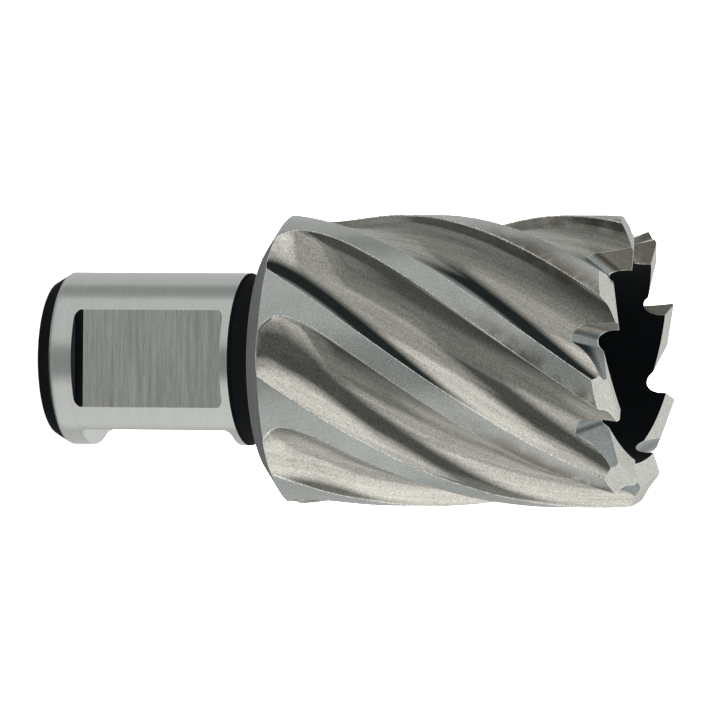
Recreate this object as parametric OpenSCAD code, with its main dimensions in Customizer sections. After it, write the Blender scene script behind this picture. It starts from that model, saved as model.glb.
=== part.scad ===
// Annular cutter for a magnetic drill, ground from one piece of high-speed steel.
// A shank with two clamping flats carries a tubular head with helical flutes and a ring of teeth.
// Millimetres. The axis is +Z, the shank's end face lies on z = 0 and the teeth point up.

/* [Shank] */
// Diameter of the ground shank
shank_d = 19.05; // [18:0.05:20]
// Length from the shank's end face to the back of the head
shank_len = 25.2; // [24.5:0.1:32]
// Length of the ground part, measured from the end face
ground_len = 22.2; // [21.8:0.1:23]
// Diameter of the unground neck behind the head
neck_d = 18.7; // [17:0.05:18.9]
// Fillet between the neck and the head
neck_fillet = 0.8; // [0.3:0.1:1.2]
// Length of the taper on the shank's end
end_taper_len = 1.8; // [0.5:0.1:2.5]
// Depth of that taper on the radius
end_taper_depth = 1.1; // [0.3:0.1:1.5]

/* [Clamping flats] */
// Depth of each flat below the shank's surface
flat_depth = 1.65; // [1:0.05:2]
// Distance from the end face to the flat's opening
flat_start = 4.6; // [3.5:0.1:6]
// Length of the flat's opening along the shank
flat_len = 16.6; // [12:0.1:17]
// Length of the slope at each end of the flat
flat_slope_len = 0.7; // [0.2:0.1:1.5]
// Angle between the two flats
flat_spacing = 90; // [60:5:180]
// Relief of the round wall beside the flats, so that a burr from a screw can't bind in the arbor
burr_relief = 0.05; // [0.02:0.01:0.1]

/* [Pilot bore] */
// Diameter of the bore for the ejector pin
pilot_d = 6.4; // [6:0.1:8.2]
// Countersink on the bore at the shank's end
pilot_chamfer = 0.5; // [0.2:0.1:1]

/* [Head] */
// Cutting diameter
head_d = 32; // [30:0.5:34]
// Length of the head up to the tips of the teeth
head_len = 41.8; // [40:0.1:50]
// Diameter of the head's back face
back_d = 26; // [24:0.5:27]
// Length of the cone from the back face to the cutting diameter
back_taper_len = 2.1; // [1:0.1:3]
// Wall of the tube, which is the width of the cut
wall = 4.8; // [4.2:0.1:5.2]
// Depth of the hollow that takes the core
core_depth = 34; // [30:0.5:36]
// Radius where the hollow's wall meets its floor
core_fillet = 1.5; // [0.5:0.1:2]

/* [Flutes] */
// Number of teeth, each with one flute in front
teeth = 8; // [8:1:8]
// Helix angle at the cutting diameter
helix_angle = 34; // [25:1:38]
// Depth of the flutes
flute_depth = 2.7; // [2.3:0.1:2.9]
// Radius of the flute's side below the next tooth's heel
heel_radius = 5.8; // [4.8:0.1:6]
// Radius of the flute's broad floor
floor_radius = 14.8; // [13:0.1:16]
// Turn of the floor from the lowest line to the fillet below the cutting edge
floor_sweep = 16.5; // [14:0.5:17]
// Fillet below the cutting edge
rake_radius = 0.9; // [0.6:0.1:1.2]
// Steepness of the wall that carries the cutting edge
rake_angle = 66; // [60:1:72]
// Length over which a flute runs out at the back of the head
runout_len = 9.4; // [8:0.1:11]

/* [Teeth] */
// Diameter at which the outer and inner bevels of a tooth meet
ridge_d = 27.2; // [26.6:0.1:27.6]
// Slope of the outer bevel
outer_bevel = 26; // [18:1:32]
// Slope of the inner bevel
inner_bevel = 8; // [4:1:14]
// Relief of the outer bevel behind the cutting edge
relief = 10.5; // [8:0.5:12]
// Relief of the inner bevel
inner_relief = 13.5; // [10:0.5:15]
// Width of a tooth at its ridge
tooth_arc = 25; // [22:0.5:27]
// Angle by which the inner edge of a tooth leads its outer corner
edge_lead = 8.3; // [7:0.1:10]

/* [Gullets] */
// Depth of a gullet at the wall of the hollow
gullet_depth = 2.8; // [2.7:0.1:2.9]
// Slope of a gullet's floor, outwards and back into the flute
gullet_tilt = 47; // [47:2:49]
// Radius of a gullet's bottom
gullet_radius = 1.25; // [1.2:0.05:1.3]
// Flat width between the two halves of that round
gullet_floor = 0.15; // [0.1:0.05:0.2]
// Slope of a gullet's back side up to the next heel
gullet_rise = 36; // [30:1:42]

/* [Hidden] */
$fn = 96;

// Clearance by which a cutting shape overshoots the surface it cuts
over = 1;
shank_r = shank_d / 2;
neck_r = neck_d / 2;
end_r = shank_r - end_taper_depth;
head_r = head_d / 2;
back_r = back_d / 2;
core_r = head_r - wall;
ridge_r = ridge_d / 2;
tip_z = shank_len + head_len;
core_floor_z = tip_z - core_depth;
cone_top_z = shank_len + back_taper_len;
pitch = 360 / teeth;

// Direction in which the first flat faces
flat_angle = -90;
// Stretch of the shank over which both flats have their full depth
relief_margin = 0.2;
relief_from = flat_start + flat_slope_len + relief_margin;
relief_to = flat_start + flat_len - flat_slope_len - relief_margin;
// Angle of the first tooth's outer corner, and the height of that corner
corner_angle = -70.9;
corner_z = tip_z - (head_r - ridge_r) * tan(outer_bevel) - edge_lead * PI / 180 * ridge_r * tan(relief);
twist_rate = 360 * tan(helix_angle) / (PI * head_d);

// A flute of depth d is drawn in its own frame: x along the turn, y outwards, and its lowest line at x = 0
function heel_point(d, turn) =
    [heel_radius * sin(turn), head_r - d + heel_radius * (1 - cos(turn))];
function floor_point(d, turn) =
    [-floor_radius * sin(turn), head_r - d + floor_radius * (1 - cos(turn))];
function fillet_point(d, turn) =
    floor_point(d, floor_sweep)
    + rake_radius * [sin(floor_sweep) - sin(turn), cos(floor_sweep) - cos(turn)];

// Turn of the heel's arc where it reaches radius r
function heel_turn(d, r) =
    let (c = head_r - d + heel_radius)
    acos((c * c + heel_radius * heel_radius - r * r) / (2 * c * heel_radius));

// Point where the rake wall reaches radius r
function wall_point(d, r) =
    let (foot = fillet_point(d, rake_angle))
    let (way = [-cos(rake_angle), sin(rake_angle)])
    let (along = foot * way)
    foot + way * (sqrt(along * along - foot * foot + r * r) - along);

// Angle about the cutter's axis between a point of that frame and the lowest line
function angle_of(p) = atan2(p[0], p[1]);
flute_arc = angle_of(heel_point(flute_depth, heel_turn(flute_depth, head_r)))
    - angle_of(wall_point(flute_depth, head_r));

// A flute keeps its depth to runout_z and then rises along a circle until it leaves the head
runout_least = 0.05;
runout_z = cone_top_z - 1 + runout_len;
runout_r = runout_len * runout_len / (2 * (flute_depth - runout_least));
function depth_at(z) = flute_depth - pow(max(0, runout_z - z), 2) / (2 * runout_r);

// Points of one flute's outline at height z, from the heel round the floor to the cutting edge
heel_steps = 5;
floor_steps = 3;
fillet_steps = 3;
clearance = 2.2;
clear_r = head_r + clearance;
function flute_outline(z) =
    let (d = depth_at(z))
    let (heel_end = heel_turn(d, clear_r))
    let (edge = corner_angle + (z - corner_z) * twist_rate)
    let (lowest = edge + flute_arc - angle_of(heel_point(d, heel_turn(d, head_r))))
    let (outline = concat(
        [for (i = [heel_steps : -1 : 0]) heel_point(d, heel_end * i / heel_steps)],
        [for (i = [1 : floor_steps]) floor_point(d, floor_sweep * i / floor_steps)],
        [for (i = [1 : fillet_steps])
            fillet_point(d, floor_sweep + (rake_angle - floor_sweep) * i / fillet_steps)],
        [wall_point(d, clear_r + flute_depth)]
    ))
    [for (p = outline) [
        p[1] * cos(lowest) - p[0] * sin(lowest),
        p[1] * sin(lowest) + p[0] * cos(lowest),
        z
    ]];

// Heights at which the flute's outline is taken, closer together in the run-out
runout_steps = 8;
helix_steps = 20;
flute_top_z = tip_z + over;
flute_heights = concat(
    [for (i = [0 : runout_steps - 1]) runout_z - runout_len * (1 - i / runout_steps)],
    [for (i = [0 : helix_steps]) runout_z + (flute_top_z - runout_z) * i / helix_steps]
);

// The space swept by the wheel that grinds one flute
module flute() {
    rings = [for (z = flute_heights) flute_outline(z)];
    n = len(rings[0]);
    last = len(rings) - 1;
    polyhedron(
        points = [for (ring = rings) each ring],
        faces = concat(
            [[for (j = [0 : n - 1]) j]],
            [for (i = [0 : last - 1], j = [0 : n - 1])
                [i * n + j, (i + 1) * n + j, (i + 1) * n + (j + 1) % n]],
            [for (i = [0 : last - 1], j = [0 : n - 1])
                [i * n + j, (i + 1) * n + (j + 1) % n, i * n + (j + 1) % n]],
            [[for (j = [n - 1 : -1 : 0]) last * n + j]]
        )
    );
}

// Turned outline of the whole blank
module blank() {
    rotate_extrude() {
        polygon([
            [0, 0],
            [end_r, 0],
            [shank_r, end_taper_len],
            [shank_r, relief_from],
            [shank_r - burr_relief, relief_from],
            [shank_r - burr_relief, relief_to],
            [shank_r, relief_to],
            [shank_r, ground_len],
            [neck_r, ground_len + shank_r - neck_r],
            [neck_r, shank_len],
            [back_r, shank_len],
            [head_r, cone_top_z],
            [head_r, tip_z],
            [0, tip_z]
        ]);
        translate([neck_r, shank_len - neck_fillet])
            difference() {
                square(neck_fillet);
                translate([neck_fillet, 0]) circle(neck_fillet);
            }
    }
}

// Hollow for the core, with a rounded floor, and the bore that leads from it through the shank
module hollow() {
    rotate_extrude() {
        translate([0, core_floor_z]) square([core_r - core_fillet, core_depth + over]);
        translate([0, core_floor_z + core_fillet]) square([core_r, core_depth + over]);
        translate([core_r - core_fillet, core_floor_z + core_fillet]) circle(core_fillet);
    }
    translate([0, 0, -over]) cylinder(d = pilot_d, h = core_floor_z + 2 * over);
    translate([0, 0, -over])
        cylinder(r1 = pilot_d / 2 + pilot_chamfer + over, r2 = pilot_d / 2, h = pilot_chamfer + over);
}

// Pocket with a flat floor and sloping ends, for the clamping screw
module clamping_flat() {
    floor_r = shank_r - flat_depth;
    reach = flat_slope_len / flat_depth * over;
    end_z = flat_start + flat_len;
    rotate([90, 0, 0])
        translate([0, 0, -shank_r])
            linear_extrude(2 * shank_r)
                polygon([
                    [shank_r + over, flat_start - reach],
                    [shank_r + over, end_z + reach],
                    [floor_r, end_z - flat_slope_len],
                    [floor_r, flat_start + flat_slope_len]
                ]);
}

// Overshoot of a bevel's wheel behind the heel, and ahead of the tip into the gullet
bevel_behind = 2.4;
bevel_ahead = 0.4;

// Everything above one bevel of a tooth, which slopes outwards, or inwards where the slope is negative.
// The middle of the tooth is on the +X side, and both bevels pass through the tip of its cutting edge.
module bevel_waste(slope, relief_angle) {
    half_chord = ridge_r * sin(tooth_arc / 2);
    chord_r = ridge_r * cos(tooth_arc / 2);
    reach = wall + 2 * over;
    behind = 2 * half_chord + bevel_behind;
    translate([chord_r, half_chord, tip_z])
        rotate([relief_angle, 0, 0])
            rotate([0, slope, 0])
                translate([-reach, -behind, 0]) cube([2 * reach, behind + bevel_ahead, wall]);
}

// Space in front of a gullet's round, and the reach of its channel inwards and outwards from the hollow
gullet_reach = 8;
gullet_inward = 4;
gullet_outward = 10;

// Round-bottomed notch through the wall in front of one tooth, with its front wall in the plane y = 0
module gullet() {
    rise = atan(tan(gullet_rise) * cos(gullet_tilt));
    reach = gullet_reach;
    low = gullet_radius * (1 - cos(rise));
    corner_x = gullet_radius + gullet_floor + gullet_radius * sin(rise);
    translate([core_r, 0, tip_z - gullet_depth])
        rotate([0, gullet_tilt, 0])
            rotate([90, 0, 90])
                translate([0, 0, -gullet_inward])
                    linear_extrude(gullet_inward + gullet_outward) {
                        translate([gullet_radius, gullet_radius]) circle(gullet_radius);
                        translate([gullet_radius + gullet_floor, gullet_radius]) circle(gullet_radius);
                        polygon([
                            [0, gullet_radius],
                            [gullet_radius, 0],
                            [gullet_radius + gullet_floor, 0],
                            [corner_x, low],
                            [corner_x + reach, low + reach * tan(rise)],
                            [corner_x + reach, 2 * reach],
                            [0, 2 * reach]
                        ]);
                    }
}

// The finished cutter: one piece of steel, cut and ground from the blank
module cutter() {
    color("silver")
        difference() {
            blank();
            hollow();
            for (i = [0 : 1])
                rotate(flat_angle + i * flat_spacing) clamping_flat();
            for (i = [0 : teeth - 1])
                rotate(i * pitch) flute();
            for (i = [0 : teeth - 1])
                rotate(corner_angle + edge_lead - tooth_arc / 2 + i * pitch) {
                    bevel_waste(outer_bevel, relief);
                    bevel_waste(-inner_bevel, inner_relief);
                }
            for (i = [0 : teeth - 1])
                rotate(corner_angle + edge_lead + i * pitch) gullet();
        }
}

cutter();
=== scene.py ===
# %% [markdown]
# # An annular cutter
# This lesson builds the steel cutter of a magnetic drill: a short shank with two clamping flats, and a
# hollow head with eight helical flutes and eight teeth. The real one is ground from a single bar, so
# here it becomes a single mesh that stands in for the CAD solid called cutter.

# %% Load the CAD frame
import math

import bmesh
import bpy
from mathutils import Matrix, Vector


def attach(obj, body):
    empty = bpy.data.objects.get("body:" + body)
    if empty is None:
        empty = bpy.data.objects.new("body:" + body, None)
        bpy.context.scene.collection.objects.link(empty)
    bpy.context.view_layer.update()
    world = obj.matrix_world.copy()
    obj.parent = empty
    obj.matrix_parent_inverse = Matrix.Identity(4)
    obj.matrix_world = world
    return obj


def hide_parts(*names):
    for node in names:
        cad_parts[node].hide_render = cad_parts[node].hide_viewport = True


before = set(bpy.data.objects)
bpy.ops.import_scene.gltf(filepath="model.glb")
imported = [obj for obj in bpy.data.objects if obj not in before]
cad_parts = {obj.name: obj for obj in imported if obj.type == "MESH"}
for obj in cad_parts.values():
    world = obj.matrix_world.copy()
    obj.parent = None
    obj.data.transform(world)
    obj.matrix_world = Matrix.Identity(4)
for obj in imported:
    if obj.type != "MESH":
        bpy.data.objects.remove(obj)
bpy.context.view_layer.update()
MM = 0.001

# %% [markdown]
# The photograph looks at the cutter from 15.5 degrees above its middle, towards the teeth, with a long
# lens and with the cutter's axis level in the picture. In our frame the cutter stands upright, so the
# camera is laid on its side: its right is the cutter's +Z, and its up is the cutter's -X.

# %% Camera
CAMERA_ELEVATION = math.radians(15.55)
CAMERA_DISTANCE = 1.124
CAMERA_ROLL = math.radians(0.38)
AIM_HEIGHT = 34.5 * MM
PIXELS_PER_MM, IMAGE_SIDE, SENSOR_WIDTH = 9.097, 720, 36
FAR_CLIP = 20
aim = Vector((0, 0, AIM_HEIGHT))
back = Vector((0, -math.cos(CAMERA_ELEVATION), math.sin(CAMERA_ELEVATION)))
level = Vector((0, math.sin(CAMERA_ELEVATION), math.cos(CAMERA_ELEVATION)))
right = level * math.cos(CAMERA_ROLL) + back.cross(level) * math.sin(CAMERA_ROLL)
camera_data = bpy.data.cameras.new("camera")
camera_data.sensor_width = SENSOR_WIDTH
camera_data.lens = PIXELS_PER_MM / MM * CAMERA_DISTANCE / IMAGE_SIDE * SENSOR_WIDTH
camera_data.clip_end = FAR_CLIP
camera = bpy.data.objects.new("camera", camera_data)
place = Matrix((right, back.cross(right), back)).transposed().to_4x4()
place.translation = aim + back * CAMERA_DISTANCE
camera.matrix_world = place
bpy.context.scene.collection.objects.link(camera)
bpy.context.scene.camera = camera
print("lens in mm:", round(camera_data.lens))

# %% [markdown]
# Finishes come next, because the mesh gets its material slots as it is built. Each zone of the cutter
# was made by another tool, and that is what the eye reads: circular lines on the ground shank, straight
# lines across the flats, streaks along the flutes, a fine matt grain on the lands, and black scale where
# nothing was ground. One node group makes all the lines: noise that is drawn out along the way the
# wheel moved. Another makes the grain.

# %% Node helpers
def new_group(name, inputs, outputs):
    """An empty shader node group with named sockets."""
    group = bpy.data.node_groups.new(name, "ShaderNodeTree")
    for socket, kind, value in inputs:
        made = group.interface.new_socket(socket, in_out="INPUT", socket_type=kind)
        made.default_value = value
    for socket, kind in outputs:
        group.interface.new_socket(socket, in_out="OUTPUT", socket_type=kind)
    return group, group.nodes.new("NodeGroupInput"), group.nodes.new("NodeGroupOutput")


def add_node(tree, kind, links=(), **settings):
    """A node with its settings, and its inputs given as numbers or as sockets to link from."""
    node = tree.nodes.new(kind)
    for name, value in settings.items():
        setattr(node, name, value)
    for key, value in dict(links).items():
        if isinstance(value, bpy.types.NodeSocket):
            tree.links.new(value, node.inputs[key])
        else:
            node.inputs[key].default_value = value
    return node


def math_node(tree, operation, a, b=0.0, clamp=False):
    """One Math node, whose inputs are numbers or sockets."""
    return add_node(tree, "ShaderNodeMath", {0: a, 1: b}, operation=operation, use_clamp=clamp).outputs[0]


def ramp(tree, value, low, high):
    """A smooth rise from 0 at low to 1 at high."""
    node = add_node(tree, "ShaderNodeMapRange", {0: value, 1: low, 2: high}, interpolation_type="SMOOTHSTEP")
    return node.outputs[0]


def mix_colour(tree, share, a, b, blend="MIX"):
    """Two colours mixed by a share, or blended in another way."""
    inputs = {0: share, 6: a, 7: b}
    return add_node(tree, "ShaderNodeMix", inputs, data_type="RGBA", blend_type=blend).outputs[2]


print("helpers:", ", ".join(f.__name__ for f in (new_group, add_node, math_node, ramp, mix_colour)))

# %% [markdown]
# The flutes turn about the axis as they climb. If a point is turned back by the same rate, every flute
# becomes straight, and a noise that is stretched along Z then runs along the flute like the marks of the
# grinding wheel. A turn rate of zero leaves the point where it is, for the shank and the flats.

# %% Group: lines left by grinding
HELIX_ANGLE, HEAD_R = 34.0, 16.0
HELIX_RATE = math.tan(math.radians(HELIX_ANGLE)) / (HEAD_R * MM)
lines_group, lines_in, lines_out = new_group(
    "grinding lines",
    [("Turn rate", "NodeSocketFloat", 0.0), ("Across", "NodeSocketFloat", 1.0),
     ("Along", "NodeSocketFloat", 1.0), ("Seed", "NodeSocketFloat", 0.0)],
    [("Fine", "NodeSocketFloat"), ("Broad", "NodeSocketFloat")])
here = lines_group.nodes.new("ShaderNodeTexCoord").outputs["Object"]
height = add_node(lines_group, "ShaderNodeSeparateXYZ", {0: here}).outputs[2]
turn = math_node(lines_group, "MULTIPLY", height, math_node(
    lines_group, "MULTIPLY", lines_in.outputs["Turn rate"], -1.0))
straight = add_node(lines_group, "ShaderNodeVectorRotate", {"Vector": here, "Angle": turn},
                    rotation_type="Z_AXIS").outputs[0]
stretch = add_node(lines_group, "ShaderNodeCombineXYZ", {
    0: lines_in.outputs["Across"], 1: lines_in.outputs["Across"], 2: lines_in.outputs["Along"]}).outputs[0]
drawn = add_node(lines_group, "ShaderNodeVectorMath", {0: straight, 1: stretch},
                 operation="MULTIPLY").outputs[0]
for socket, scale, rough in (("Fine", 1000.0, 0.6), ("Broad", 230.0, 0.55)):
    noise = add_node(lines_group, "ShaderNodeTexNoise", {
        "Vector": drawn, "W": lines_in.outputs["Seed"], "Scale": scale, "Detail": 3.0, "Roughness": rough},
        noise_dimensions="4D")
    lines_group.links.new(noise.outputs[0], lines_out.inputs[socket])
print("made group:", lines_group.name)

# %% [markdown]
# A matt surface is a fine grain with paler and darker clouds across it. Both are the same noise at two
# scales, so one small group gives both: a zone can then mix as much of each as its wheel or blast left.

# %% Group: grain of a matt surface
grain_group, grain_in, grain_out = new_group(
    "grain", [("Size", "NodeSocketFloat", 1.0)],
    [("Speckle", "NodeSocketFloat"), ("Cloud", "NodeSocketFloat")])
here = grain_group.nodes.new("ShaderNodeTexCoord").outputs["Object"]
for socket, scale, detail in (("Speckle", 5200.0, 2.0), ("Cloud", 260.0, 3.0)):
    size = math_node(grain_group, "DIVIDE", scale, grain_in.outputs["Size"])
    noise = add_node(grain_group, "ShaderNodeTexNoise", {"Vector": here, "Scale": size, "Detail": detail})
    grain_group.links.new(noise.outputs[0], grain_out.inputs[socket])
print("made group:", grain_group.name)

# %% [markdown]
# Heat from grinding has tinted the steel brown along the cutting edges near the teeth. To place it, a
# third group works out where a point lies across its flute: its angle from the nearest cutting edge,
# after the helix has been taken out, as a share of the pitch. The tint covers the part of the land next
# to the edge, ends a little way into the flute, fades towards the shank and is broken up by noise.

# %% Group: heat tint along the cutting edges
TEETH, CORNER_ANGLE, EDGE_LEAD = 8, -70.9, 8.3
TIP_Z, RIDGE_R, OUTER_BEVEL, OUTER_RELIEF = 67.0, 13.6, 26.0, 10.5
corner_z = (TIP_Z - (HEAD_R - RIDGE_R) * math.tan(math.radians(OUTER_BEVEL))
            - math.radians(EDGE_LEAD) * RIDGE_R * math.tan(math.radians(OUTER_RELIEF)))
EDGE_SHARE = 0.4
TINT_ON_LAND, TINT_IN_FLUTE = (0.18, 0.39), (0.47, 0.41)
TINT_HEIGHT, TINT_PATCHES = (46 * MM, 57 * MM), (0.3, 0.58)
heat_group, _, heat_out = new_group("heat tint", [], [("Tint", "NodeSocketFloat")])
here = heat_group.nodes.new("ShaderNodeTexCoord").outputs["Object"]
parts = add_node(heat_group, "ShaderNodeSeparateXYZ", {0: here}).outputs
angle = math_node(heat_group, "ARCTAN2", parts[1], parts[0])
climb = math_node(heat_group, "MULTIPLY",
                  math_node(heat_group, "SUBTRACT", parts[2], corner_z * MM), HELIX_RATE)
from_edge = math_node(heat_group, "SUBTRACT", math_node(heat_group, "SUBTRACT", angle, climb),
                      math.radians(CORNER_ANGLE))
across = math_node(heat_group, "FRACT", math_node(
    heat_group, "ADD", math_node(heat_group, "MULTIPLY", from_edge, TEETH / (2 * math.pi)), EDGE_SHARE))
band = math_node(heat_group, "MULTIPLY", ramp(heat_group, across, *TINT_ON_LAND),
                 ramp(heat_group, across, *TINT_IN_FLUTE))
tall = ramp(heat_group, parts[2], *TINT_HEIGHT)
patches = add_node(heat_group, "ShaderNodeTexNoise", {"Vector": here, "Scale": 420.0, "Detail": 3.0})
tint = math_node(heat_group, "MULTIPLY", math_node(heat_group, "MULTIPLY", band, tall),
                 ramp(heat_group, patches.outputs[0], *TINT_PATCHES))
heat_group.links.new(tint, heat_out.inputs[0])
print("made group:", heat_group.name)

# %% [markdown]
# A finish is a metal whose colour and roughness vary a little with the lines and the grain, and whose
# surface is scratched by the same lines through a Bump node. The helper below builds that for every
# zone, so that a zone differs only in its numbers. A zone can ask for three things more: the heat tint;
# painted shade, a colour that darkens where little open space is around a point, as at the bottom of a
# gullet; and bright edges, partly wear and partly a painted highlight, which are where a normal rounded
# by a Bevel node turns away from the plain one.

# %% Finish helper
EDGE_WEAR_AND_HIGHLIGHT, SCRATCH_DEPTH = 0.15 * MM, 0.02 * MM
HEAT_BROWN, PAINTED_SHADE_BLACK, WEAR_AND_HIGHLIGHT_BRIGHT = (0.15, 0.11, 0.075, 1), (0.01, 0.01, 0.012, 1), (0.86, 0.86, 0.83, 1)
BROAD_SHARE, SHINE_SWING = 0.55, -0.25
PAINTED_SHADE_RANGE, WEAR_AND_HIGHLIGHT_RANGE = (0.15, 0.8), (0.995, 0.93)


def finish(name, colour, roughness, lines=None, grain=1.0, contrast=0.2, speckle=0.1, bump=0.1, metallic=1.0,
           heat=0.0, edges=0.0, shade_reach=0.0):
    """A metal finish. lines holds turn rate, across, along and seed for the grinding lines."""
    material = bpy.data.materials.new(name)
    material.use_nodes = True
    tree = material.node_tree
    shader = tree.nodes["Principled BSDF"]
    shader.inputs["Metallic"].default_value = metallic
    grain_node = add_node(tree, "ShaderNodeGroup", node_tree=grain_group)
    grain_node.inputs["Size"].default_value = grain
    streak = grain_node.outputs["Cloud"]
    relief = grain_node.outputs["Speckle"]
    if lines:
        lines_node = add_node(tree, "ShaderNodeGroup", node_tree=lines_group)
        for socket, value in zip(("Turn rate", "Across", "Along", "Seed"), lines):
            lines_node.inputs[socket].default_value = value
        streak = math_node(tree, "ADD", math_node(tree, "MULTIPLY", lines_node.outputs["Broad"], BROAD_SHARE),
                           math_node(tree, "MULTIPLY", lines_node.outputs["Fine"], 1 - BROAD_SHARE))
        relief = lines_node.outputs["Fine"]
    swing = math_node(tree, "MULTIPLY", math_node(tree, "SUBTRACT", streak, 0.5), 2 * contrast)
    dust = math_node(tree, "MULTIPLY",
                     math_node(tree, "SUBTRACT", grain_node.outputs["Speckle"], 0.5), 2 * speckle)
    shade = math_node(tree, "ADD", math_node(tree, "ADD", swing, dust), 1.0)
    tone = add_node(tree, "ShaderNodeCombineColor", {0: shade, 1: shade, 2: shade}).outputs[0]
    tinted = mix_colour(tree, 1.0, (*colour, 1), tone, "MULTIPLY")
    if heat:
        heat_node = add_node(tree, "ShaderNodeGroup", node_tree=heat_group)
        share = math_node(tree, "MULTIPLY", heat_node.outputs[0], heat)
        tinted = mix_colour(tree, share, tinted, HEAT_BROWN)
    # Painted shade: the colour darkens where little open space is around a point.
    if shade_reach:
        around = add_node(tree, "ShaderNodeAmbientOcclusion", {"Distance": shade_reach * MM}, samples=8)
        tinted = mix_colour(tree, ramp(tree, around.outputs["AO"], *PAINTED_SHADE_RANGE), PAINTED_SHADE_BLACK, tinted)
    # Bright edges, partly wear and partly a painted highlight.
    if edges:
        rounded = add_node(tree, "ShaderNodeBevel", {"Radius": EDGE_WEAR_AND_HIGHLIGHT}, samples=6).outputs[0]
        plain = tree.nodes.new("ShaderNodeNewGeometry").outputs["Normal"]
        match = add_node(tree, "ShaderNodeVectorMath", {0: rounded, 1: plain}, operation="DOT_PRODUCT")
        wear_and_highlight = math_node(tree, "MULTIPLY", ramp(tree, match.outputs["Value"], *WEAR_AND_HIGHLIGHT_RANGE), edges)
        tinted = mix_colour(tree, wear_and_highlight, tinted, WEAR_AND_HIGHLIGHT_BRIGHT)
    tree.links.new(tinted, shader.inputs["Base Color"])
    rough = math_node(tree, "ADD", math_node(tree, "MULTIPLY", swing, SHINE_SWING), roughness, clamp=True)
    tree.links.new(rough, shader.inputs["Roughness"])
    scratch = add_node(tree, "ShaderNodeBump", {
        "Height": relief, "Strength": bump, "Distance": SCRATCH_DEPTH})
    tree.links.new(scratch.outputs[0], shader.inputs["Normal"])
    return material


print("worn edge in mm:", round(EDGE_WEAR_AND_HIGHLIGHT / MM, 2))

# %% [markdown]
# Each zone now gets its finish. The numbers are the colour, the roughness, and for ground zones how the
# lines run: turn rate, stretch across and along, and a seed that keeps two zones from looking alike. The
# scale of the bore and the neck is nearly black and hardly shines, so it is no metal here.

# %% Finishes of the zones
SCALE_SHINE = 0.03
finishes = {
    "ground": finish("ground steel", (0.66, 0.67, 0.635), 0.20, (0, 0.15, 5, 1), contrast=0.1, bump=0.05,
                     edges=0.7),
    "flat": finish("ground flat", (0.68, 0.69, 0.64), 0.40, (0, 0.5, 9, 2), contrast=1.0, bump=0.1),
    "land": finish("matt land", (0.42, 0.435, 0.41), 0.26, speckle=0.28, contrast=0.12, bump=0.005,
                   metallic=0.9, heat=0.8, edges=0.6),
    "flute": finish("ground flute", (0.44, 0.424, 0.38), 0.08, (HELIX_RATE, 3.5, 0.12, 3), contrast=0.8,
                    speckle=0.6, bump=0.03, heat=0.55),
    "tooth": finish("ground tooth", (0.60, 0.60, 0.55), 0.40, speckle=0.5, contrast=0.12, bump=0.2,
                    edges=0.9),
    # The gullet's darker colour and its darkened depths are painted shade from the walls around it.
    "gullet": finish("ground gullet", (0.255, 0.275, 0.27), 0.2, speckle=0.5, contrast=0.3, bump=0.2,
                     edges=0.7, shade_reach=1.0),
    # The rake face's dark colour is painted shade, for the dark gullet and tooth that it would mirror.
    "rake": finish("ground rake face", (0.20, 0.188, 0.16), 0.32, speckle=0.5, contrast=0.3, bump=0.2,
                   edges=0.7),
    # The round on the edges is lighter than land and flute: partly wear, partly a painted highlight.
    "edge": finish("bright edge", (0.50, 0.50, 0.48), 0.35, speckle=1.4, contrast=0.5, metallic=0.7),
    "scale": finish("black scale", (0.003, 0.004, 0.0045), 0.6, speckle=0.5, contrast=0.3, bump=0.3,
                    metallic=0.0),
    "cone": finish("dark turned cone", (0.040, 0.041, 0.039), 0.5, (0, 0.15, 4, 4), contrast=0.5, bump=0.1,
                   metallic=0.0),
}
scale_shader = finishes["scale"].node_tree.nodes["Principled BSDF"]
scale_shader.inputs["Specular IOR Level"].default_value = SCALE_SHINE
slots = list(finishes)
print("finishes:", ", ".join(slots))

# %% [markdown]
# Now the body. Everything on it except the flats and the teeth can be read as a stack of rings: each
# ring is the outline of the cutter at one height. By hand one would draw the first ring, extrude it, and
# move the new points, over and over. A loop does exactly that here. The flutes are why it is worth it:
# the edges of the mesh then run along the helix, so the long edges stay clean and can have a tiny round.
# First come the sizes of a flute, in millimetres, and the curve that its wheel leaves in the steel.

# %% Flute outline
PITCH = 360 / TEETH
FLUTE_DEPTH, HEEL_R, FLOOR_R, FLOOR_SWEEP = 2.7, 5.8, 14.8, 16.5
RAKE_R, RAKE_ANGLE, RAKE_LEN, HEEL_TURN = 0.9, 66.0, 5.0, 80.0
CONE_TOP_Z, RUNOUT_LEN, RUNOUT_LEAST = 27.3, 9.4, 0.05
runout_z = CONE_TOP_Z - 1 + RUNOUT_LEN


def depth_at(z):
    """The flute keeps its depth down to the run-out, then rises along a circle."""
    return FLUTE_DEPTH - (FLUTE_DEPTH - RUNOUT_LEAST) * (max(0, runout_z - z) / RUNOUT_LEN) ** 2


def heel_side(depth, share):
    """Point on the heel's arc, with x along the turn and y outwards; share 1 is far outside the head."""
    turn = math.radians(HEEL_TURN * share)
    return HEEL_R * math.sin(turn), HEAD_R - depth + HEEL_R * (1 - math.cos(turn))


def rake_side(depth, share):
    """Point on the floor (share 0 to 1), the fillet (1 to 2) or the wall below the cutting edge (2 to 3)."""
    sweep, steep = math.radians(FLOOR_SWEEP), math.radians(RAKE_ANGLE)
    turn = sweep * min(share, 1)
    x, y = -FLOOR_R * math.sin(turn), HEAD_R - depth + FLOOR_R * (1 - math.cos(turn))
    if share > 1:
        turn = sweep + (steep - sweep) * min(share - 1, 1)
        x += RAKE_R * (math.sin(sweep) - math.sin(turn))
        y += RAKE_R * (math.cos(sweep) - math.cos(turn))
    if share > 2:
        x -= RAKE_LEN * (share - 2) * math.cos(steep)
        y += RAKE_LEN * (share - 2) * math.sin(steep)
    return x, y


HALVINGS = 40


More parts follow.
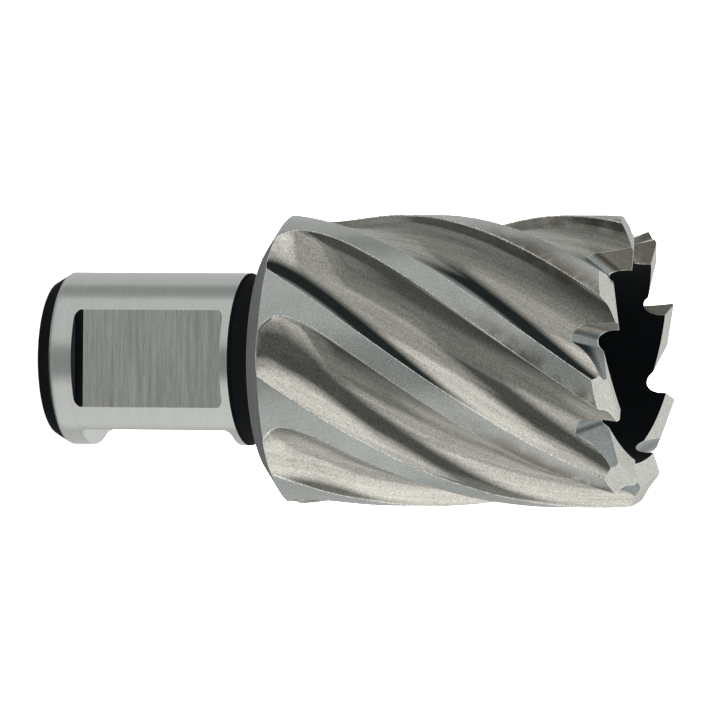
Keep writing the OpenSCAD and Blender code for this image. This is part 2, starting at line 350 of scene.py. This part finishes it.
def reach(side, depth, radius, most):
    """Share of a side's curve at which it comes out to this radius."""
    low, high = 0.0, most
    for _ in range(HALVINGS):
        middle = (low + high) / 2
        if math.hypot(*side(depth, middle)) < radius:
            low = middle
        else:
            high = middle
    return low


def polar(point):
    """Angle from the flute's lowest line in degrees, and radius."""
    return math.degrees(math.atan2(point[0], point[1])), math.hypot(*point)


flute_arc = (polar(heel_side(FLUTE_DEPTH, reach(heel_side, FLUTE_DEPTH, HEAD_R, 1)))[0]
             - polar(rake_side(FLUTE_DEPTH, reach(rake_side, FLUTE_DEPTH, HEAD_R, 3)))[0])
print("flute takes", round(flute_arc, 2), "of", PITCH, "degrees")

# %% [markdown]
# A ring has the same points in the same order at every height: across the land, over the cutting edge,
# down the wall, round the fillet, along the floor and up the heel. Both edges are broken by a round of
# six hundredths of a millimetre, which is what catches a thin line of light on a real tool.

# %% Ring of the fluted head
EDGE_ROUND, ROUND_ACROSS, ROUND_DOWN = 0.06, 0.2, 0.25
SHANK_LEN, BACK_R = 25.2, 13.0
land_shares = [0, 0.03, 0.14, 0.32, 0.5, 0.68, 0.86, 0.97, 1]
wall_shares = [0.12, 0.5]
fillet_shares = [0, 0.2, 0.4, 0.6, 0.8]
floor_shares = [0, 0.1, 0.25, 0.4, 0.55, 0.7, 0.85]
heel_shares = [0, 0.1, 0.2, 0.3, 0.4, 0.5, 0.6, 0.7, 0.8, 0.88, 0.95]
zone_counts = [("land", len(land_shares)), ("flute", 1 + len(wall_shares) + len(fillet_shares)
                                            + len(floor_shares) + len(heel_shares) + 2)]
PER_PITCH = sum(count for _, count in zone_counts)


def blank_radius(z):
    """Radius of the turned blank on the cone and on the head."""
    up_the_cone = min((z - SHANK_LEN) / (CONE_TOP_Z - SHANK_LEN), 1)
    return BACK_R + (HEAD_R - BACK_R) * up_the_cone


def flute_points(z):
    """Angles and radii of one flute from its cutting edge to the next heel, both edges included."""
    depth, radius = depth_at(z), blank_radius(z)
    on_helix = polar(heel_side(depth, reach(heel_side, depth, HEAD_R, 1)))[0]
    lowest = CORNER_ANGLE + flute_arc + (z - corner_z) * math.degrees(HELIX_RATE) * MM - on_helix
    if HEAD_R - depth > radius - 2 * EDGE_ROUND:
        return [(lowest, radius)] * (PER_PITCH - len(land_shares) + 2)
    rake_end, heel_end = reach(rake_side, depth, radius, 3), reach(heel_side, depth, radius, 1)
    rake_in = reach(rake_side, depth, radius - EDGE_ROUND, 3)
    heel_in = reach(heel_side, depth, radius - EDGE_ROUND, 1)
    edge = polar(rake_side(depth, rake_end))[0]
    heel = polar(heel_side(depth, heel_end))[0]
    step = math.degrees(EDGE_ROUND / radius)
    points = [(edge - step, radius)]
    points += [(edge - ROUND_ACROSS * step, radius - ROUND_DOWN * EDGE_ROUND)]
    points += [polar(rake_side(depth, rake_in + (min(rake_in, 2) - rake_in) * s)) for s in wall_shares]
    points += [polar(rake_side(depth, min(rake_in, 2 - s))) for s in fillet_shares]
    points += [polar(rake_side(depth, min(rake_in, 1) * (1 - s))) for s in floor_shares]
    points += [polar(heel_side(depth, heel_in * s)) for s in heel_shares]
    points += [polar(heel_side(depth, heel_in))]
    points += [(heel + ROUND_ACROSS * step, radius - ROUND_DOWN * EDGE_ROUND), (heel + step, radius)]
    return [(angle + lowest, r) for angle, r in points]


def head_ring(z):
    """All points of the ring at height z, as angle in degrees and radius."""
    flute = flute_points(z)
    ring = []
    for i in range(TEETH):
        start = flute[-1][0] - PITCH
        span = flute[0][0] - start
        land = [(start + span * s, blank_radius(z)) for s in land_shares]
        ring += [(angle + i * PITCH, r) for angle, r in land + flute[1:-1]]
    return ring


print("points in a ring:", len(head_ring(50)), "- expected", TEETH * PER_PITCH)

# %% [markdown]
# The whole path of rings goes once around the section: it starts at the mouth of the pilot bore, runs
# out over the shank's end, up the outside to the tips of the teeth, over the rim, down into the hollow
# and back through the bore. The last ring meets the first, which closes the skin. Where nothing is
# fluted, a ring is a plain circle that keeps the angles of the lowest fluted ring.

# %% Rings along the section
def arc(cx, cz, radius, start, stop, count):
    """Points of an arc in the section, as radius and height."""
    turns = [math.radians(start + (stop - start) * k / count) for k in range(count + 1)]
    return [(cx + radius * math.cos(t), cz + radius * math.sin(t)) for t in turns]


SHANK_R, NECK_R, PILOT_R, PILOT_MOUTH_R, CORE_R, CORE_FLOOR_Z = 9.525, 9.35, 3.2, 3.7, 11.2, 33.0
NECK_FILLET, FLOOR_FILLET, TURNED_ROUND, END_ROUND = 0.8, 1.5, 0.1, 0.12
outside = [("scale", PILOT_MOUTH_R, 0), ("scale", 8.2, 0)]
outside += [("scale", r, z) for r, z in arc(8.33, END_ROUND, END_ROUND, -90, -35, 3)]
outside += [("scale", 9.4, 1.6)]
outside += [("ground", r, z) for r, z in arc(SHANK_R - TURNED_ROUND, 1.83, TURNED_ROUND, -20, 0, 2)]
outside += [("ground", SHANK_R, z) for z in (2.2, 4.2, 9, 13, 17, 21.4, 22.0)]
outside += [("scale", r, z) for r, z in arc(SHANK_R - TURNED_ROUND, 22.1, TURNED_ROUND, 0, 60, 2)]
outside += [("scale", NECK_R, z) for z in (22.4, 23.3)]
outside += [("scale", r, z) for r, z in arc(
    NECK_R + NECK_FILLET, SHANK_LEN - NECK_FILLET, NECK_FILLET, 180, 90, 5)]
outside += [("cone", 12.8, SHANK_LEN)]
cone_heights = [25.24, 25.8, 26.3, 26.6, 26.75]
cone_heights += [26.8 + 0.05 * k for k in range(10)]
runout_heights = [27.34 + 0.22 * k for k in range(40)]
head_heights = [36.2 + 0.55 * k for k in range(57)]
inside = [("scale", CORE_R, TIP_Z - 2.5 * k) for k in range(14)]
inside += [("scale", r, z) for r, z in arc(
    CORE_R - FLOOR_FILLET, CORE_FLOOR_Z + FLOOR_FILLET, FLOOR_FILLET, 0, -90, 6)]
inside += [("scale", r, z) for r, z in ((6, CORE_FLOOR_Z), (3.3, CORE_FLOOR_Z), (PILOT_R, 32.9))]
inside += [("scale", PILOT_R, 29.5 - 2.9 * k) for k in range(11)]
inside += [("scale", PILOT_MOUTH_R, 0)]
plain_angles = [angle for angle, _ in head_ring(cone_heights[0])]
rows = [(zone, z, [(angle, r) for angle in plain_angles]) for zone, r, z in outside]
rows += [("cone", z, head_ring(z)) for z in cone_heights]
rows += [("head", z, head_ring(z)) for z in runout_heights + head_heights]
top_angles = [angle for angle, _ in rows[-1][2]]
for zone, r, z in inside:
    share = z / TIP_Z
    rows += [(zone, z, [(a + (b - a) * share, r) for a, b in zip(plain_angles, top_angles)])]
print("rings:", len(rows))

# %% [markdown]
# Building it is one circle and many extrudes. Each point carries its column number in an attribute,
# which an extrude copies to the new point, so the loop always knows which point of the ring it moves.

# %% Extrude the rings
def only(obj=None):
    """Deselect everything, then select and activate one object."""
    if bpy.context.object and bpy.context.object.mode != "OBJECT":
        bpy.ops.object.mode_set(mode="OBJECT")
    bpy.ops.object.select_all(action="DESELECT")
    if obj:
        obj.select_set(True)
        bpy.context.view_layer.objects.active = obj


def place_ring(number):
    """Move the newest ring of points to its outline, and note its number."""
    _, z, points = rows[number]
    mesh = bmesh.from_edit_mesh(cutter.data)
    column, row = mesh.verts.layers.int["column"], mesh.verts.layers.int["row"]
    mesh.verts.ensure_lookup_table()
    for vert in mesh.verts[-len(points):]:
        angle, r = points[vert[column]]
        turn = math.radians(angle)
        vert.co = Vector((r * math.cos(turn), r * math.sin(turn), z)) * MM
        vert[row] = number


only()
bpy.ops.mesh.primitive_circle_add(vertices=TEETH * PER_PITCH, radius=3 * MM)
cutter = bpy.context.object
cutter.name = cutter.data.name = "fluted_cutter"
for slot in slots:
    cutter.data.materials.append(finishes[slot])
bpy.ops.object.mode_set(mode="EDIT")
bpy.ops.mesh.select_mode(type="VERT")
mesh = bmesh.from_edit_mesh(cutter.data)
mesh.verts.layers.int.new("row")
column = mesh.verts.layers.int.new("column")
order = sorted(mesh.verts, key=lambda v: math.atan2(v.co.y, v.co.x) % (2 * math.pi))
for number, vert in enumerate(order):
    vert[column] = number
bpy.ops.mesh.select_all(action="SELECT")
place_ring(0)
for number in range(1, len(rows)):
    bpy.ops.mesh.extrude_region_move()
    place_ring(number)
bmesh.update_edit_mesh(cutter.data)
print("points in the skin:", len(bmesh.from_edit_mesh(cutter.data).verts))

# %% [markdown]
# A face takes the finish of its ring, and on the head of its column: land, flute, or the line between
# them, which is lighter for wear and as a painted highlight. Then the points that lie on each other are
# merged: where the last ring meets the first, and where a flute runs out to nothing. A count of points on
# open edges shows that the skin is closed.

# %% Give each face its zone
SCOOP_Z, MERGE_WITHIN, SLIVER = 26.7 * MM, 0.0005 * MM, 0.0002 * MM
column_zone = [zone for zone, count in zone_counts for _ in range(count)] * TEETH
edge_columns = (len(land_shares) - 1, len(land_shares), PER_PITCH - 2, PER_PITCH - 1)
mesh = bmesh.from_edit_mesh(cutter.data)
row, column = mesh.verts.layers.int["row"], mesh.verts.layers.int["column"]
for face in mesh.faces:
    zone = rows[max(v[row] for v in face.verts)][0]
    columns = sorted({v[column] for v in face.verts})
    left = columns[-1] if columns[-1] - columns[0] > 1 else columns[0]
    on_flute = column_zone[left] == "flute" or column_zone[(left + 1) % len(column_zone)] == "flute"
    on_edge = left % PER_PITCH in edge_columns
    if zone == "head" or (zone == "cone" and on_flute and min(v.co.z for v in face.verts) > SCOOP_Z):
        zone = "edge" if on_edge else "flute" if on_flute else "land"
    face.material_index = slots.index(zone)
    face.smooth = True
bmesh.update_edit_mesh(cutter.data)
bpy.ops.mesh.select_all(action="SELECT")
bpy.ops.mesh.remove_doubles(threshold=MERGE_WITHIN)
bpy.ops.mesh.dissolve_degenerate(threshold=SLIVER)
bpy.ops.mesh.normals_make_consistent(inside=False)
bpy.ops.mesh.select_mode(type="VERT")
bpy.ops.mesh.select_all(action="DESELECT")
bpy.ops.mesh.select_non_manifold()
bpy.ops.object.mode_set(mode="OBJECT")
loose = sum(v.select for v in cutter.data.vertices)
print("body faces:", len(cutter.data.polygons), "points on open edges:", loose)

# %% [markdown]
# Some cuts are easiest as cuts. A cutter shape is modelled once, copied around the axis, and taken away
# with a Boolean modifier. The new faces keep the material of the shape that cut them, so each cutter
# carries the finish that its wheel would leave.

# %% Boolean helper
def cut(shape, names):
    """Take a shape away from the cutter. A cut face gets the finish that its index picks from the names."""
    picked = [slots.index(names[polygon.material_index]) for polygon in shape.data.polygons]
    for slot in slots:
        shape.data.materials.append(finishes[slot])
    for polygon, index in zip(shape.data.polygons, picked):
        polygon.material_index = index
    only(cutter)
    modifier = cutter.modifiers.new("cut", "BOOLEAN")
    modifier.operation = "DIFFERENCE"
    modifier.solver = "MANIFOLD"
    modifier.object = shape
    bpy.ops.object.modifier_apply(modifier="cut")
    bpy.data.objects.remove(shape, do_unlink=True)


def copies_around(shape, angles):
    """Copies of a shape, each with its own mesh, turned about the axis by the angles."""
    made = []
    for angle in angles:
        copy = shape.copy()
        copy.data = shape.data.copy()
        bpy.context.scene.collection.objects.link(copy)
        copy.data.transform(Matrix.Rotation(math.radians(angle), 4, "Z"))
        made.append(copy)
    bpy.data.objects.remove(shape, do_unlink=True)
    return made


print("finishes a cut can leave:", len(slots))

# %% [markdown]
# The clamping flats are pockets with a flat floor and rounded corners, as an end mill leaves them. A cube
# with its four upright edges bevelled gives that plan. The cube is cut with a bisect near the shank's tip,
# so that the end wall and a strip of floor there can have their own finish: black scale on the first
# flat, where the black strip is a painted reflection of the dark end wall, and ground steel on the second.

# %% Clamping flats
FLAT_FLOOR_R, FLAT_START, FLAT_END, FLAT_STRIP = 7.85, 4.15, 21.15, 0.95
FLAT_WIDTH, FLAT_CORNER, FLAT_TOP = 11.0, 1.1, 3.0
only()
bpy.ops.mesh.primitive_cube_add(size=MM)
pocket = bpy.context.object
bpy.ops.object.mode_set(mode="EDIT")
bpy.ops.transform.resize(value=(FLAT_WIDTH, FLAT_TOP, FLAT_END - FLAT_START))
bpy.ops.mesh.select_mode(type="EDGE")
bpy.ops.mesh.select_all(action="DESELECT")
mesh = bmesh.from_edit_mesh(pocket.data)
for edge in mesh.edges:
    a, b = edge.verts
    edge.select_set(abs(a.co.y - b.co.y) > 0.5 * FLAT_TOP * MM)
bpy.ops.mesh.bevel(offset=FLAT_CORNER * MM, segments=10, affect="EDGES")
bpy.ops.mesh.select_all(action="SELECT")
bpy.ops.transform.translate(value=Vector(
    (0, -(FLAT_FLOOR_R + FLAT_TOP / 2), (FLAT_START + FLAT_END) / 2)) * MM)
bpy.ops.mesh.bisect(plane_co=Vector((0, 0, FLAT_START + FLAT_STRIP)) * MM, plane_no=(0, 0, 1))
bpy.ops.object.mode_set(mode="OBJECT")
# First flat: black scale finish on the end wall and strip, the strip as a painted reflection of the wall.
for shape, strip in zip(copies_around(pocket, (0, 90)), ("scale", "ground")):
    for polygon in shape.data.polygons:
        polygon.material_index = polygon.center.z < (FLAT_START + FLAT_STRIP) * MM
    cut(shape, ["flat", strip])
print("faces with flats:", len(cutter.data.polygons))

# %% [markdown]
# In front of every tooth a round-bottomed gullet is ground through the wall, sloping out and back into
# the flute. Its back climbs gently at the inner edge and steeply further out. A plain extrude can't do
# that, so the outline, a filled circle whose points are moved into place, is extruded in short steps,
# and each step moves its points to the outline there. The upright wall is the rake face of the tooth.

# %% Gullets
GULLET_DEPTH, GULLET_TILT, GULLET_R, GULLET_FLOOR = 2.8, 47.0, 1.25, 0.15
GULLET_RISE, GULLET_RISE_OUT, RISE_LEN = 36.0, 66.0, 4.0
GULLET_TOP, WALL_STEPS, BACK_STEPS, RAKE_FACING = 24.0, 10, 5, -0.6
back_runs = [0.4 * k for k in range(1, 14)] + [8]
gullet_steps = [-4] + [0.25 * k for k in range(17)] + [10]


def gullet_outline(along):
    """Outline of the gullet at a distance along its length: wall, fillet, narrow floor and climbing back."""
    steep = GULLET_RISE + (GULLET_RISE_OUT - GULLET_RISE) * min(max(along / RISE_LEN, 0), 1)
    rise = math.atan(math.tan(math.radians(steep)) * math.cos(math.radians(GULLET_TILT)))
    wall = [math.radians(90 * k / WALL_STEPS) for k in range(WALL_STEPS + 1)]
    points = [(GULLET_R - GULLET_R * math.cos(t), GULLET_R - GULLET_R * math.sin(t)) for t in wall]
    foot = GULLET_R + GULLET_FLOOR
    bend = [rise * k / BACK_STEPS for k in range(BACK_STEPS + 1)]
    points += [(foot + GULLET_R * math.sin(t), GULLET_R - GULLET_R * math.cos(t)) for t in bend]
    back_x, back_y = points[-1]
    points += [(back_x + run, back_y + run * math.tan(rise)) for run in back_runs]
    return points + [(back_x + back_runs[-1], GULLET_TOP), (0, GULLET_TOP)]


only()
bpy.ops.mesh.primitive_circle_add(vertices=len(gullet_outline(0)), radius=MM, fill_type="NGON")
gullet = bpy.context.object
bpy.ops.object.mode_set(mode="EDIT")
mesh = bmesh.from_edit_mesh(gullet.data)
column = mesh.verts.layers.int.new("column")
order = sorted(mesh.verts, key=lambda v: math.atan2(v.co.y, v.co.x) % (2 * math.pi))
for number, vert in enumerate(order):
    vert[column] = number
for along in gullet_steps:
    if along > gullet_steps[0]:
        bpy.ops.mesh.extrude_region_move()
    mesh = bmesh.from_edit_mesh(gullet.data)
    column = mesh.verts.layers.int["column"]
    outline = gullet_outline(along)
    for vert in mesh.verts:
        if vert.select:
            vert.co = Vector((*outline[vert[column]], along)) * MM
bmesh.update_edit_mesh(gullet.data)
bpy.ops.mesh.select_all(action="SELECT")
bpy.ops.mesh.normals_make_consistent(inside=False)
bpy.ops.object.mode_set(mode="OBJECT")
for polygon in gullet.data.polygons:
    polygon.material_index = polygon.normal.x < RAKE_FACING
stand = Matrix.Rotation(math.radians(90), 4, "Z") @ Matrix.Rotation(math.radians(90), 4, "X")
tilt = Matrix.Rotation(math.radians(GULLET_TILT), 4, "Y")
gullet.data.transform(Matrix.Translation(Vector((CORE_R, 0, TIP_Z - GULLET_DEPTH)) * MM) @ tilt @ stand)
for shape in copies_around(gullet, [CORNER_ANGLE + EDGE_LEAD + i * PITCH for i in range(TEETH)]):
    cut(shape, ["gullet", "rake"])
print("faces with gullets:", len(cutter.data.polygons))

# %% [markdown]
# Each tooth is ground to two bevels that fall away from a ridge, and both drop behind the cutting edge.
# Two blocks, tilted to those planes and meeting at the tip, take away what is above them.

# %% Bevels of the teeth
TOOTH_ARC, INNER_BEVEL, INNER_RELIEF = 25.0, 8.0, 13.5
half_chord = RIDGE_R * math.sin(math.radians(TOOTH_ARC / 2))
chord_r = RIDGE_R * math.cos(math.radians(TOOTH_ARC / 2))
BLOCK_REACH, BLOCK_BEHIND, BLOCK_AHEAD, BLOCK_HEIGHT = 6.8, 2 * half_chord + 2.4, 0.4, 4.8
for slope, relief in ((OUTER_BEVEL, OUTER_RELIEF), (-INNER_BEVEL, INNER_RELIEF)):
    only()
    bpy.ops.mesh.primitive_cube_add(size=MM)
    block = bpy.context.object
    bpy.ops.object.mode_set(mode="EDIT")
    bpy.ops.transform.resize(value=(2 * BLOCK_REACH, BLOCK_BEHIND + BLOCK_AHEAD, BLOCK_HEIGHT))
    bpy.ops.transform.translate(value=Vector((0, (BLOCK_AHEAD - BLOCK_BEHIND) / 2, BLOCK_HEIGHT / 2)) * MM)
    bpy.ops.object.mode_set(mode="OBJECT")
    lean = Matrix.Rotation(math.radians(relief), 4, "X") @ Matrix.Rotation(math.radians(slope), 4, "Y")
    block.data.transform(Matrix.Translation(Vector((chord_r, half_chord, TIP_Z)) * MM) @ lean)
    tooth_middle = CORNER_ANGLE + EDGE_LEAD - TOOTH_ARC / 2
    for shape in copies_around(block, [tooth_middle + i * PITCH for i in range(TEETH)]):
        cut(shape, ["tooth"])
print("faces with teeth:", len(cutter.data.polygons))

# %% [markdown]
# The skin is shaded smooth, except where two faces meet at more than 28 degrees: those are the ground
# edges. The mesh then rides on the part's one body and takes the place of the CAD solid. It is left out
# of its own mirror images, because flutes that mirror each other looked browner than the real steel.

# %% Smooth shading and the link to the CAD part
SHARP_ANGLE = math.radians(28)
only(cutter)
bpy.ops.object.shade_smooth_by_angle(angle=SHARP_ANGLE)
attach(cutter, "root")
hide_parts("cutter")
cutter.visible_glossy = False
print("triangles:", sum(len(p.vertices) - 2 for p in cutter.data.polygons))

# %% [markdown]
# Polished steel shows its surroundings more than itself, so the light is the second half of the finish.
# A product like this is photographed in a tent: white paper below, pale walls and a bright soft box on
# each side, and a dark gap in front where the lens looks in. Lamps and planes could stand there, but
# they would show in other views. So the world itself is painted: each panel covers a stretch of the
# compass and a range of heights with blurred edges, and where two overlap, the brighter one is seen.
# The compass is in degrees, and heights run from -1, straight down, to 1, straight up.

# %% World
def window(tree, distance, half, blur):
    """1 near the middle of a stretch, 0 beyond its blurred edge."""
    return ramp(tree, distance, half + blur, half - blur)


def panel(tree, compass, height, middle, half_width, blur, foot, top, fade, light):
    """Light of one panel. Compass 0 is behind the camera, and plus is the photograph's lower side."""
    offset = math_node(tree, "SUBTRACT", compass, middle)
    turn = add_node(tree, "ShaderNodeMath", {0: offset, 1: 180.0, 2: -180.0}, operation="WRAP").outputs[0]
    across = window(tree, math_node(tree, "ABSOLUTE", turn), half_width, blur)
    from_middle = math_node(tree, "ABSOLUTE", math_node(tree, "SUBTRACT", height, (foot + top) / 2))
    upright = window(tree, from_middle, (top - foot) / 2, fade)
    return math_node(tree, "MULTIPLY", math_node(tree, "MULTIPLY", across, upright), light)


world = bpy.data.worlds.new("tent")
bpy.context.scene.world = world
world.use_nodes = True
tree = world.node_tree
direction = tree.nodes.new("ShaderNodeTexCoord").outputs["Generated"]
parts = add_node(tree, "ShaderNodeSeparateXYZ", {0: direction}).outputs
compass = math_node(tree, "DEGREES", math_node(
    tree, "ARCTAN2", parts[0], math_node(tree, "MULTIPLY", parts[1], -1.0)))
ALL_ROUND = dict(middle=0, half_width=200, blur=10)
panels = {
    "shade under the cutter": dict(ALL_ROUND, foot=-1.2, top=-0.6, fade=0.1, light=0.13),
    "paper under the upper side": dict(middle=-120, half_width=100, blur=40,
                                       foot=-1.2, top=-0.6, fade=0.1, light=0.35),
    "paper in front": dict(ALL_ROUND, foot=-0.68, top=-0.2, fade=0.13, light=0.36),
    "paper at the lower side": dict(middle=105, half_width=38, blur=25,
                                    foot=-0.58, top=-0.3, fade=0.12, light=0.65),
    "paper around": dict(middle=-140, half_width=142, blur=22, foot=-0.6, top=-0.25, fade=0.15, light=0.45),
    "wall behind": dict(middle=180, half_width=68, blur=8, foot=-0.5, top=-0.14, fade=0.1, light=0.58),
    "wall on the upper side": dict(middle=-55, half_width=42, blur=16,
                                   foot=-0.4, top=0.2, fade=0.1, light=0.68),
    "wall on the lower side": dict(middle=70, half_width=46, blur=16,
                                   foot=-0.36, top=0.2, fade=0.1, light=0.86),
    "box on the upper side": dict(middle=-60, half_width=35, blur=18,
                                  foot=0.15, top=0.7, fade=0.12, light=1.25),
    "box on the lower side": dict(middle=72, half_width=45, blur=18,
                                  foot=0.12, top=0.7, fade=0.1, light=1.35),
    "back wall": dict(middle=160, half_width=45, blur=20, foot=-0.1, top=0.8, fade=0.1, light=0.75),
    "cloth round the lens": dict(middle=0, half_width=45, blur=15, foot=-0.3, top=0.7, fade=0.1, light=0.15),
    "ceiling in front": dict(middle=30, half_width=50, blur=20, foot=0.62, top=1.3, fade=0.1, light=0.36),
    "ceiling": dict(middle=-150, half_width=140, blur=16, foot=0.48, top=1.3, fade=0.12, light=0.95),
}
ROOM_LIGHT = 0.03
COOL_CAST = 0.011
light = ROOM_LIGHT
for settings in panels.values():
    light = math_node(tree, "MAXIMUM", panel(tree, compass, parts[2], **settings), light)
cool = math_node(tree, "ADD", light, COOL_CAST)
tree.links.new(add_node(tree, "ShaderNodeCombineColor", {0: light, 1: cool, 2: cool}).outputs[0],
               tree.nodes["Background"].inputs[0])
print("panels of light:", len(panels))

# %% [markdown]
# The cutter stands on a plain white floor that glows a little, so that it comes out as even as the white
# ground of a catalogue picture. One soft lamp overhead lights both from above. Neither floor nor lamp is
# mirrored in the steel, where the panels of the world do that work.

# %% Floor and lamp
FLOOR_SIDE, LAMP_HEIGHT, LAMP_SIDE, LAMP_POWER = 8, 1.2, 1.2, 30
only()
bpy.ops.mesh.primitive_plane_add(size=FLOOR_SIDE)
floor = bpy.context.object
floor.name = "floor"
paper = bpy.data.materials.new("white paper")
paper.use_nodes = True
paper_shader = paper.node_tree.nodes["Principled BSDF"]
for socket, value in (("Base Color", (0.9, 0.9, 0.9, 1)), ("Roughness", 0.9),
                      ("Emission Color", (1, 1, 1, 1)), ("Emission Strength", 0.9)):
    paper_shader.inputs[socket].default_value = value
floor.data.materials.append(paper)
floor.visible_glossy = False
lamp_data = bpy.data.lights.new("overhead", "AREA")
lamp_data.size, lamp_data.energy = LAMP_SIDE, LAMP_POWER
lamp = bpy.data.objects.new("overhead", lamp_data)
lamp.location = (0, 0, LAMP_HEIGHT)
lamp.visible_glossy = False
bpy.context.scene.collection.objects.link(lamp)
bpy.context.scene.view_settings.view_transform = "Standard"
print("floor side in m:", FLOOR_SIDE, "lamp height in m:", LAMP_HEIGHT)
